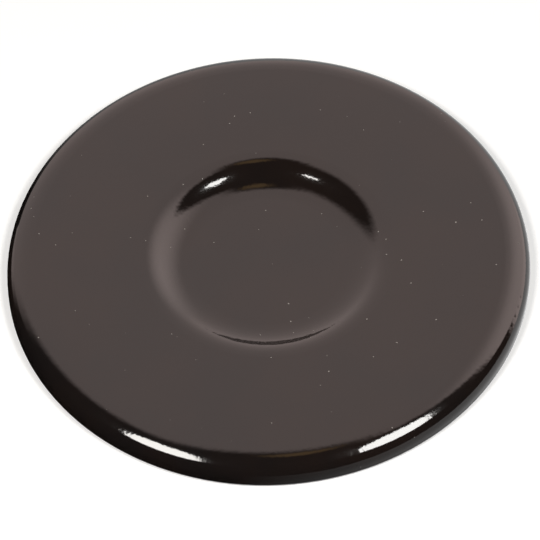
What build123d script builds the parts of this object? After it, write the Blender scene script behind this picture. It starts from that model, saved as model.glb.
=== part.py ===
from build123d import *
import os
from math import acos, cos, degrees, radians, sin

# Gas burner cap: one round blank of sheet steel, pressed and then enamelled all over.
# The press sinks a shallow dish in the middle, leaves a faint dome on the ring
# around it, and rolls the rim down to a short skirt. The rim bends twice: a wide
# shoulder starts it, and a tight roll takes it down to the skirt. The sheet has the
# same thickness everywhere, so the underside repeats the top: the dish shows below as
# a round boss, and the ring and the rim make a channel around it.
# Millimetres, +Z up. The origin is on the axis of the cap, level with the trimmed
# lower edge of the rim, so the cap stands on the plane Z = 0.

# Driving dimensions. Radii are those of the top surface.
cap_diameter = 100.0
sheet_thickness = 1.5
dish_depth = 2.7
dish_floor_radius = 15.0
dish_floor_fillet = 10.7
dish_lip_radius = 7.3
crown_edge_slope = 5.4
rim_shoulder_radius = 7.8
rim_shoulder_slope = 32.0
rim_roll_radius = 2.9
skirt_height = 1.5

# The trimmed edge has both corners broken, outside and inside.
outer_chamfer = 0.4
inner_chamfer = 0.3

# Sizes worked out from the driving dimensions.
# The two arcs of the dish wall meet where it is steepest, and they share the depth.
cap_radius = cap_diameter / 2
dish_wall_slope = degrees(acos(1 - dish_depth / (dish_floor_fillet + dish_lip_radius)))
dish_radius = dish_floor_radius + (dish_floor_fillet + dish_lip_radius) * sin(radians(dish_wall_slope))

# The rim's two arcs reach in from the skirt, each by the difference of its sines.
roll_reach = rim_roll_radius * (1 - sin(radians(rim_shoulder_slope)))
shoulder_reach = rim_shoulder_radius * (sin(radians(rim_shoulder_slope)) - sin(radians(crown_edge_slope)))
crown_end_radius = cap_radius - roll_reach - shoulder_reach
crown_radius = (crown_end_radius - dish_radius) / sin(radians(crown_edge_slope))

# Levels above the lower edge
shoulder_end_level = skirt_height + rim_roll_radius * cos(radians(rim_shoulder_slope))
shoulder_drop = rim_shoulder_radius * (cos(radians(crown_edge_slope)) - cos(radians(rim_shoulder_slope)))
crown_drop = crown_radius * (1 - cos(radians(crown_edge_slope)))
crown_top_level = shoulder_end_level + shoulder_drop + crown_drop
dish_floor_level = crown_top_level - dish_depth


def skin_line(below):
    """Half section of the surface that lies this far below the top surface.

    It runs from the axis out to the end of the rim's roll. Every curve is an arc that
    starts in the direction in which the last one ended, so a surface further down in
    the sheet keeps the same centres, and only its radii change.
    """
    floor_level = dish_floor_level - below
    floor = Line((0, floor_level), (dish_floor_radius, floor_level))
    fillet = JernArc(floor @ 1, floor % 1, dish_floor_fillet + below, dish_wall_slope)
    lip = JernArc(fillet @ 1, fillet % 1, dish_lip_radius - below, -dish_wall_slope)
    crown = JernArc(lip @ 1, lip % 1, crown_radius - below, -crown_edge_slope)
    shoulder_turn = rim_shoulder_slope - crown_edge_slope
    shoulder = JernArc(crown @ 1, crown % 1, rim_shoulder_radius - below, -shoulder_turn)
    roll_turn = 90 - rim_shoulder_slope
    roll = JernArc(shoulder @ 1, shoulder % 1, rim_roll_radius - below, -roll_turn)
    return [floor, fillet, lip, crown, shoulder, roll]


def skirt_line(outside_top, inside_top):
    """Half section of the skirt: down its outside, under its trimmed edge and up its inside."""
    skirt_inside = cap_radius - sheet_thickness
    corners = [
        outside_top,
        (cap_radius, outer_chamfer),
        (cap_radius - outer_chamfer, 0),
        (skirt_inside + inner_chamfer, 0),
        (skirt_inside, inner_chamfer),
        inside_top,
    ]
    return Polyline(corners)


def burner_cap():
    """The pressed cap: its half section turned once around the axis."""
    top = skin_line(0)
    underside = skin_line(sheet_thickness)
    skirt = skirt_line(top[-1] @ 1, underside[-1] @ 1)
    middle = Line(top[0] @ 0, underside[0] @ 0)
    section = make_face(Wire(top + skirt.edges() + underside + [middle]))
    return revolve(Plane.XZ * section, Axis.Z)


cap = burner_cap()
cap.label = "burner_cap"

os.makedirs("parts", exist_ok=True)
export_step(cap, "parts/burner_cap.step")

box = cap.bounding_box()
print(f"cap {box.size.X:.2f} x {box.size.Y:.2f} mm, {box.size.Z:.2f} mm high")
print(f"dish {2 * dish_radius:.2f} mm across its lip, wall {dish_wall_slope:.1f} degrees at its steepest")
print(f"dome {crown_drop:.2f} mm high on a radius of {crown_radius:.0f} mm")
print(f"boss clears the lower edge by {dish_floor_level - sheet_thickness:.2f} mm")
print(f"volume {cap.volume / 1000:.2f} cm3, valid {cap.is_valid}")
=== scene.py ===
# %% [markdown]
# # A gas burner cap in Blender
# The object is one piece: a round cap of sheet steel, pressed and then enamelled all over
# in a very dark, glossy brown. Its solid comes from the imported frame, so its shape and
# size are settled. What is left is what an enameller and a photographer would do: give
# the enamel its finish, light the cap and set the camera.

# %% Load the frame
import bpy
from math import cos, pi, radians, sin
from mathutils import Matrix, Vector


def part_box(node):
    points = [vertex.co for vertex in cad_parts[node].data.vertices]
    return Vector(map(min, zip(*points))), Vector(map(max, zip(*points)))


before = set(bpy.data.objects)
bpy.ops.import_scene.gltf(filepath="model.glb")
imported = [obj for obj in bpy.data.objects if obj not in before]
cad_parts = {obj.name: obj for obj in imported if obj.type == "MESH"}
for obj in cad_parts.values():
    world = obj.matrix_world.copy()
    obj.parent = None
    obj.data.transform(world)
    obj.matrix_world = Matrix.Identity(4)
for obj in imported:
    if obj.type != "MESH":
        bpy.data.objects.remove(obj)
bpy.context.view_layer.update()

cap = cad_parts["burner_cap"]
cap_low, cap_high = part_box("burner_cap")
cap_radius = cap_high.x
cap_height = cap_high.z - cap_low.z
millimetre = 0.001
print(f"cap: {2000 * cap_radius:.1f} mm across, {1000 * cap_height:.2f} mm high")

# %% [markdown]
# ## The camera
# The cap fills the square picture and is seen from well above. Its outline is so nearly
# an exact ellipse that the camera must stand far off with a long lens. The pixel where
# the axis leaves the cap's top, the slant of the outline and its width fix the rest.
# Pixels are counted from the picture's top left corner.

# %% Camera
image_width = 540
camera_elevation = radians(53.35)
camera_distance = cap_radius / 0.035
camera_roll = radians(2.5)
pixels_per_radius = 262.2
axis_pixel = (267.9, 252.9)
sensor_width = 36.0
nearest_seen = 0.01
farthest_seen = 20


def make_camera():
    """A camera in front of the cap that shows its axis at the named pixel."""
    axis_top = Vector((0, 0, cap_height))
    back = Vector((0, -cos(camera_elevation), sin(camera_elevation)))
    place = axis_top + camera_distance * back
    level_right = Vector((1, 0, 0))
    level_up = back.cross(level_right)
    right = cos(camera_roll) * level_right - sin(camera_roll) * level_up
    up = back.cross(right)
    metres_per_pixel = cap_radius / pixels_per_radius
    aside = (image_width / 2 - axis_pixel[0]) * metres_per_pixel
    below = (image_width / 2 - axis_pixel[1]) * metres_per_pixel
    aim = axis_top + aside * right - below * up
    z_axis = (place - aim).normalized()
    x_axis = (right - right.dot(z_axis) * z_axis).normalized()
    y_axis = z_axis.cross(x_axis)
    turn = Matrix((x_axis, y_axis, z_axis)).transposed().to_4x4()
    data = bpy.data.cameras.new("camera")
    data.sensor_width = sensor_width
    data.lens = sensor_width * pixels_per_radius * camera_distance / cap_radius / image_width
    data.clip_start = nearest_seen
    data.clip_end = farthest_seen
    camera = bpy.data.objects.new("camera", data)
    camera.matrix_world = Matrix.Translation(place) @ turn
    bpy.context.scene.collection.objects.link(camera)
    bpy.context.scene.camera = camera
    return camera


camera = make_camera()
print(f"camera: {camera_distance:.2f} m away, {camera.data.lens:.0f} mm lens")

# %% [markdown]
# ## Helpers
# Directions around the cap are given as an azimuth and an elevation, the way a
# photographer would place a lamp. The class adds nodes to one tree in few words, and
# every node gets a label that says what it is for.

# %% Node helpers
upwards = Vector((0, 0, 1))


def direction(azimuth, elevation):
    """Unit vector at an azimuth, 0 towards the camera and 90 to the right, and an elevation."""
    a, e = radians(azimuth), radians(elevation)
    return Vector((sin(a) * cos(e), -cos(a) * cos(e), sin(e)))


class Tree:
    """Short hand for adding nodes to one tree and joining them."""

    def __init__(self, tree):
        self.tree = tree
        tree.nodes.clear()

    def node(self, kind, label="", **settings):
        made = self.tree.nodes.new(kind)
        made.label = label
        for name, value in settings.items():
            setattr(made, name, value)
        return made

    def feed(self, socket, value):
        if isinstance(value, bpy.types.NodeSocket):
            self.tree.links.new(value, socket)
        else:
            socket.default_value = value

    def math(self, operation, *values, label=""):
        made = self.node("ShaderNodeMath", label, operation=operation)
        for socket, value in zip(made.inputs, values):
            self.feed(socket, value)
        return made.outputs[0]

    def vector(self, operation, *values, label="", output="Vector"):
        made = self.node("ShaderNodeVectorMath", label, operation=operation)
        for socket, value in zip(made.inputs, values):
            self.feed(socket, value)
        return made.outputs[output]

    def dot(self, vector, axis, label=""):
        return self.vector("DOT_PRODUCT", vector, axis, label=label, output="Value")

    def ramp(self, value, low, high, to_low=0.0, to_high=1.0, label="", smooth=True):
        made = self.node("ShaderNodeMapRange", label)
        made.interpolation_type = "SMOOTHSTEP" if smooth else "LINEAR"
        for name, number in (("Value", value), ("From Min", low), ("From Max", high),
                             ("To Min", to_low), ("To Max", to_high)):
            self.feed(made.inputs[name], number)
        return made.outputs["Result"]

    def mix(self, factor, first, second, label=""):
        made = self.node("ShaderNodeMix", label, data_type="RGBA")
        sockets = (made.inputs[0], made.inputs[6], made.inputs[7])
        for socket, value in zip(sockets, (factor, first, second)):
            self.feed(socket, value)
        return made.outputs[2]

    def noise(self, place, size, detail=2.0, label=""):
        """Smooth noise whose lumps are about this large."""
        made = self.node("ShaderNodeTexNoise", label)
        for name, value in (("Vector", place), ("Scale", 1 / size), ("Detail", detail)):
            self.feed(made.inputs[name], value)
        return made.outputs[0]


# %% [markdown]
# ## The surroundings
# Glossy enamel shows the room more than itself. In the photo the flat top mirrors a warm
# white wall behind the cap, brightest at the right, while the room in front, at the left
# and overhead is dark. The dish's far side and the rim turn the mirror upwards, past the
# wall's top edge, and so they look nearly black. The world holds that wall as masks of
# direction for glossy rays, plain white for the camera, and an even light for the rest.

# %% Wall
wall_right_end = 102
wall_left_end = 238
wall_top = 77
wall_top_blur = 4
right_end_blur = 0.06
left_end_blur = 0.12


def wall_mask(t, way):
    """1 on the bright wall behind the cap and 0 elsewhere, with soft ends and a soft top."""
    from_right = t.dot(way, direction(wall_right_end + 90, 0), "left of the wall's right end")
    from_left = t.dot(way, direction(wall_left_end - 90, 0), "right of the wall's left end")
    height = t.dot(way, upwards, "height")
    right_end = t.ramp(from_right, -right_end_blur, right_end_blur, label="right end")
    left_end = t.ramp(from_left, -left_end_blur, left_end_blur, label="left end")
    top_low = sin(radians(wall_top - wall_top_blur))
    top_high = sin(radians(wall_top + wall_top_blur))
    top_end = t.ramp(height, top_low, top_high, 1.0, 0.0, "top edge")
    ends = t.math("MULTIPLY", right_end, left_end, label="both ends")
    return t.math("MULTIPLY", ends, top_end, label="wall")


print(f"wall: {wall_left_end - wall_right_end} degrees wide, up to {wall_top} degrees")

# %% [markdown]
# Three kinds of light make up the world. The wall is brighter towards a window at the
# right. A small patch of warm light hangs almost overhead and shows as a faint amber
# smudge where the dish and the rim turn towards it. The even light reaches matt surfaces.

# %% Lights of the world
white = (1, 1, 1, 1)
wall_color = (1.0, 0.82, 0.78, 1.0)
wall_strength = 1.3
window_strength = 2.6
window = direction(108, 20)
window_starts, window_full = 0.62, 0.98
amber_patch = direction(152, 84)
amber_color = (1.0, 0.62, 0.25, 1.0)
amber_strength = 0.8
amber_core, amber_reach = 1, 6
even_light = 0.15


def background(t, label, color, strength):
    made = t.node("ShaderNodeBackground", label)
    made.inputs["Color"].default_value = color
    t.feed(made.inputs["Strength"], strength)
    return made.outputs[0]


def wall_light(t, way):
    """The wall as the enamel sees it."""
    towards_window = t.dot(way, window, "towards the window")
    glow = t.ramp(towards_window, window_starts, window_full, wall_strength, window_strength,
                  "brighter at the right")
    strength = t.math("MULTIPLY", wall_mask(t, way), glow, label="light of the wall")
    return background(t, "wall, as the enamel sees it", wall_color, strength)


def amber_light(t, way):
    """The small warm patch overhead."""
    near_amber = t.dot(way, amber_patch, "towards the amber patch")
    edge, core = cos(radians(amber_reach)), cos(radians(amber_core))
    strength = t.ramp(near_amber, edge, core, 0.0, amber_strength, "amber patch")
    return background(t, "small warm glow overhead", amber_color, strength)


# %% World


def add_shader(t, first, second, label=""):
    made = t.node("ShaderNodeAddShader", label)
    for socket, value in zip(made.inputs, (first, second)):
        t.feed(socket, value)
    return made.outputs[0]


def mix_shader(t, factor, first, second, label=""):
    made = t.node("ShaderNodeMixShader", label)
    for socket, value in zip(made.inputs, (factor, first, second)):
        t.feed(socket, value)
    return made.outputs[0]


def light_world():
    """Wall and glow for the enamel, white for the camera and even light for the rest."""
    world = bpy.data.worlds.new("studio")
    bpy.context.scene.world = world
    world.use_nodes = True
    t = Tree(world.node_tree)
    way = t.node("ShaderNodeTexCoord", "direction").outputs["Generated"]
    room = add_shader(t, wall_light(t, way), amber_light(t, way), "wall and glow")
    even = background(t, "even light on matt surfaces", white, even_light)
    plain = background(t, "white background", white, 1.0)
    path = t.node("ShaderNodeLightPath", "kind of ray")
    unseen = mix_shader(t, path.outputs["Is Glossy Ray"], even, room, "enamel sees the wall")
    seen = mix_shader(t, path.outputs["Is Camera Ray"], unseen, plain, "camera sees white")
    output = t.node("ShaderNodeOutputWorld")
    t.feed(output.inputs["Surface"], seen)
    return world


world = light_world()
print(f"world: {len(world.node_tree.nodes)} nodes")

# %% [markdown]
# Two round lamps with soft covers stand high at the left and at the right. Each gives the
# rim one long highlight and the far side of the dish one short one. A lamp's power
# follows from its size and from how bright its face should look.

# %% Lamps
lamp_distance = 0.5
lamp_radiance = 20
left_lamp_color = (1.0, 0.97, 0.93)
right_lamp_color = (1.0, 0.985, 0.96)


def make_lamp(name, azimuth, elevation, width, height, color):
    """A round lamp that faces the cap."""
    data = bpy.data.lights.new(name, "AREA")
    data.shape = "ELLIPSE"
    data.size = width
    data.size_y = height
    data.color = color
    face_area = pi * width * height / 4
    data.energy = lamp_radiance * face_area * pi
    lamp = bpy.data.objects.new(name, data)
    place = direction(azimuth, elevation) * lamp_distance
    lamp.location = place
    lamp.rotation_euler = place.to_track_quat("Z", "Y").to_euler()
    bpy.context.scene.collection.objects.link(lamp)
    print(f"{name}: {1000 * width:.0f} x {1000 * height:.0f} mm, {data.energy:.2f} W")


make_lamp("left_lamp", azimuth=-55, elevation=57, width=0.165, height=0.165, color=left_lamp_color)
make_lamp("right_lamp", azimuth=59, elevation=58, width=0.165, height=0.16, color=right_lamp_color)

# %% [markdown]
# ## The floor
# A plain white floor that keeps the cap's soft shadow. Seen by the enamel it has painted light: it
# glows only at the right and behind, and is dark in front.

# %% Floor finish and painted light
floor_color = (0.85, 0.85, 0.85, 1)
floor_lift = 0.25
lit_side = direction(115, 0)
lit_side_starts, lit_side_full = -0.55, 0.6


def floor_finish_and_painted_light():
    """Matt white, lifted for the camera, with painted light for the enamel: one side glows."""
    material = bpy.data.materials.new("white_floor")
    material.use_nodes = True
    t = Tree(material.node_tree)
    matt = t.node("ShaderNodeBsdfDiffuse", "matt white")
    matt.inputs["Color"].default_value = floor_color
    lift = t.node("ShaderNodeEmission", "lifts the floor to white for the camera")
    lift.inputs["Strength"].default_value = floor_lift
    lifted = add_shader(t, matt.outputs[0], lift.outputs[0], "floor as the camera sees it")
    # Painted light: for glossy rays the floor is an emission that glows towards the right and behind,
    # and is dark in front.
    place = t.node("ShaderNodeNewGeometry", "place on the floor").outputs["Position"]
    flat = t.vector("NORMALIZE", place, label="flat direction from the cap")
    towards_lit = t.dot(flat, lit_side, "towards the lit side")
    glow = t.ramp(towards_lit, lit_side_starts, lit_side_full, label="lit part", smooth=False)
    seen = t.node("ShaderNodeEmission", "floor as the enamel sees it")
    t.feed(seen.inputs["Strength"], glow)
    path = t.node("ShaderNodeLightPath", "kind of ray")
    by_camera = mix_shader(t, path.outputs["Is Camera Ray"], matt.outputs[0], lifted, "camera")
    surface = mix_shader(t, path.outputs["Is Glossy Ray"], by_camera, seen.outputs[0], "enamel")
    output = t.node("ShaderNodeOutputMaterial")
    t.feed(output.inputs["Surface"], surface)
    return material


# %% Floor
floor_size = 6.0


def make_floor():
    """A square of floor under the cap."""
    s = floor_size / 2
    mesh = bpy.data.meshes.new("floor")
    mesh.from_pydata([(-s, -s, 0), (s, -s, 0), (s, s, 0), (-s, s, 0)], [], [(0, 1, 2, 3)])
    floor = bpy.data.objects.new("floor", mesh)
    bpy.context.scene.collection.objects.link(floor)
    mesh.materials.append(floor_finish_and_painted_light())


make_floor()
print(f"floor: {floor_size:.0f} m square, white value {floor_color[0]:.2f}")

# %% [markdown]
# ## The enamel
# The cap is dipped or sprayed with glass powder and fired at about 800 degrees. The melt
# levels out but keeps a fine ripple, about 1 mm from crest to crest, which makes every
# mirrored edge slightly ragged. A few grains don't melt or trap a bubble, and show as
# pale specks. The colour is a very dark brown, with faint clouds where the coat is
# thicker or thinner. The underside has only the duller ground coat, speckled and rougher,
# because nobody looks at it and it lies on the burner.

# %% Enamel colours
cover_coat = (0.0085, 0.0068, 0.0065, 1.0)
cover_coat_thin = (0.0120, 0.0080, 0.0068, 1.0)
ground_coat = (0.0125, 0.0122, 0.0130, 1.0)
ground_coat_fleck = (0.045, 0.044, 0.046, 1.0)
speck_color = (0.26, 0.24, 0.22, 1.0)
print(f"cover coat reflects {100 * cover_coat[0]:.2f}% of red, ground coat {100 * ground_coat[0]:.2f}%")

# %% [markdown]
# The material is built from small effects. Each function adds one of them and gives back
# a value, a mask or a height. Only one material uses them, so they stay in its own tree.
# The first tells the two coats apart: a top face looks up or outwards, and an underside
# face looks down or inwards.

# %% Where the cover coat lies
outward_share = 0.5
coat_border = 0.1


def top_mask(t, place, normal):
    """1 on the top, the rim and the outside of the skirt, 0 on everything below and inside."""
    flat_place = t.vector("MULTIPLY", place, Vector((1, 1, 0)), label="flat place")
    outwards = t.vector("NORMALIZE", flat_place, label="outwards")
    looks_out = t.dot(normal, outwards, "looks outwards")
    looks_up = t.dot(normal, upwards, "looks up")
    facing = t.math("MULTIPLY_ADD", looks_out, outward_share, looks_up, label="up and outwards")
    return t.ramp(facing, -coat_border, coat_border, label="cover coat")


# %% Ripple
ripple_size = 0.9 * millimetre
ripple_height = 0.012 * millimetre
wave_size = 9.0 * millimetre
wave_height = 0.02 * millimetre


def ripple(t, place):
    """Height of the fine ripple and of the longer, lower waves in the fired coat, in metres."""
    fine = t.noise(place, ripple_size, detail=1.5, label="ripple")
    long = t.noise(place, wave_size, detail=1.0, label="long waves")
    fine_height = t.math("MULTIPLY", fine, ripple_height, label="height of the ripple")
    return t.math("MULTIPLY_ADD", long, wave_height, fine_height, label="height of the coat")


print(f"ripple {ripple_height / millimetre:.3f} mm high, waves {wave_height / millimetre:.3f} mm high")

# %% Specks
speck_spacing = 3.0 * millimetre
smallest_speck = 0.0675 * millimetre
largest_speck = 0.1755 * millimetre
speck_height = 0.02 * millimetre
crowd_size = 22 * millimetre
crowd_starts, crowd_full = 0.35, 0.6
speck_core = 0.55


def specks(t, place):
    """1 inside small pale grains, strewn unevenly, and 0 elsewhere."""
    cells = t.node("ShaderNodeTexVoronoi", "grains")
    t.feed(cells.inputs["Vector"], place)
    t.feed(cells.inputs["Scale"], 1 / speck_spacing)
    distance = t.math("MULTIPLY", cells.outputs["Distance"], speck_spacing, label="to a grain")
    crowd = t.noise(place, crowd_size, label="where grains gather")
    reach = t.ramp(crowd, crowd_starts, crowd_full, smallest_speck, largest_speck, "reach")
    share = t.math("DIVIDE", distance, reach, label="share of the reach")
    return t.ramp(share, speck_core, 1.0, 1.0, 0.0, "grain")


print(f"specks up to {2 * largest_speck / millimetre:.2f} mm wide")

# %% Colour of the coats
cloud_size = 17 * millimetre
thin_starts, thin_full = 0.3, 0.7
fleck_starts, fleck_full = 0.62, 0.72
corner_starts, corner_full = 0.52, 0.58
corner_wear = 0.5


def coat_color(t, place, on_top, fleck, grain):
    """Both coats with clouds and flecks, thinner at sharp corners, and the specks."""
    slow = t.noise(place, cloud_size, detail=3.0, label="clouds")
    thin = t.ramp(slow, thin_starts, thin_full, label="thin coat")
    cover = t.mix(thin, cover_coat, cover_coat_thin, "cover coat")
    fleck_mask = t.ramp(fleck, fleck_starts, fleck_full, label="fleck")
    flecked = t.mix(fleck_mask, ground_coat, ground_coat_fleck, "ground coat")
    coat = t.mix(on_top, flecked, cover, "both coats")
    point = t.node("ShaderNodeNewGeometry", "corner").outputs["Pointiness"]
    corner = t.ramp(point, corner_starts, corner_full, label="sharp corner")
    bare = t.math("MULTIPLY", corner, corner_wear, label="melt has drawn back")
    bared = t.mix(bare, coat, ground_coat, "thin at the corners")
    return t.mix(grain, bared, speck_color, "with specks")


# %% Gloss of the coats
haze_size = 4 * millimetre
haze_starts, haze_full = 0.3, 0.7
cover_roughness = (0.055, 0.085)
ground_roughness = (0.28, 0.42)
speck_dullness = 0.35


def coat_roughness(t, place, on_top, fleck, grain):
    """Glossy cover coat with a faint haze, duller ground coat, dull specks."""
    haze = t.noise(place, haze_size, detail=4.0, label="haze")
    cover = t.ramp(haze, haze_starts, haze_full, *cover_roughness, "gloss of the cover coat")
    ground = t.ramp(fleck, haze_starts, haze_full, *ground_roughness, "sheen of the ground coat")
    both = t.node("ShaderNodeMix", "gloss of both coats", data_type="FLOAT")
    sockets = (both.inputs[0], both.inputs[2], both.inputs[3])
    for socket, value in zip(sockets, (on_top, ground, cover)):
        t.feed(socket, value)
    return t.math("MULTIPLY_ADD", grain, speck_dullness, both.outputs[0], label="specks are dull")


# %% Surface of the coats
melt_radius = 0.25 * millimetre
melt_samples = 6


def coat_normal(t, place, grain):
    """The melt rounds the sharp corners, ripples, and stands up a little over each grain."""
    rounded = t.node("ShaderNodeBevel", "melt rounds the sharp corners", samples=melt_samples)
    rounded.inputs["Radius"].default_value = melt_radius
    grain_height = t.math("MULTIPLY", grain, speck_height, label="specks stand out")
    height = t.math("ADD", ripple(t, place), grain_height, label="height in metres")
    bump = t.node("ShaderNodeBump", "surface of the coat")
    t.feed(bump.inputs["Normal"], rounded.outputs[0])
    t.feed(bump.inputs["Height"], height)
    bump.inputs["Distance"].default_value = 1.0
    bump.inputs["Strength"].default_value = 1.0
    return bump.outputs[0]


# %% [markdown]
# The glass itself is one Principled shader. Its index of refraction, 1.55, is that of
# the hard glass in enamel, and it decides how strongly the coat mirrors the room.

# %% Enamel material
enamel_ior = 1.55
fleck_size = 0.6 * millimetre


def make_enamel():
    material = bpy.data.materials.new("enamel")
    material.use_nodes = True
    t = Tree(material.node_tree)
    place = t.node("ShaderNodeTexCoord", "place on the cap").outputs["Object"]
    normal = t.node("ShaderNodeNewGeometry", "normal of the cap").outputs["Normal"]
    on_top = top_mask(t, place, normal)
    grain = specks(t, place)
    fleck = t.noise(place, fleck_size, label="flecks of the ground coat")
    enamel = t.node("ShaderNodeBsdfPrincipled", "enamel")
    t.feed(enamel.inputs["Base Color"], coat_color(t, place, on_top, fleck, grain))
    t.feed(enamel.inputs["Roughness"], coat_roughness(t, place, on_top, fleck, grain))
    t.feed(enamel.inputs["Normal"], coat_normal(t, place, grain))
    enamel.inputs["IOR"].default_value = enamel_ior
    output = t.node("ShaderNodeOutputMaterial")
    t.feed(output.inputs["Surface"], enamel.outputs[0])
    return material


cap.data.materials[0] = make_enamel()
print(f"enamel: {len(cap.data.materials[0].node_tree.nodes)} nodes")

# %% Finish
scene = bpy.context.scene
scene.view_settings.view_transform = "Standard"
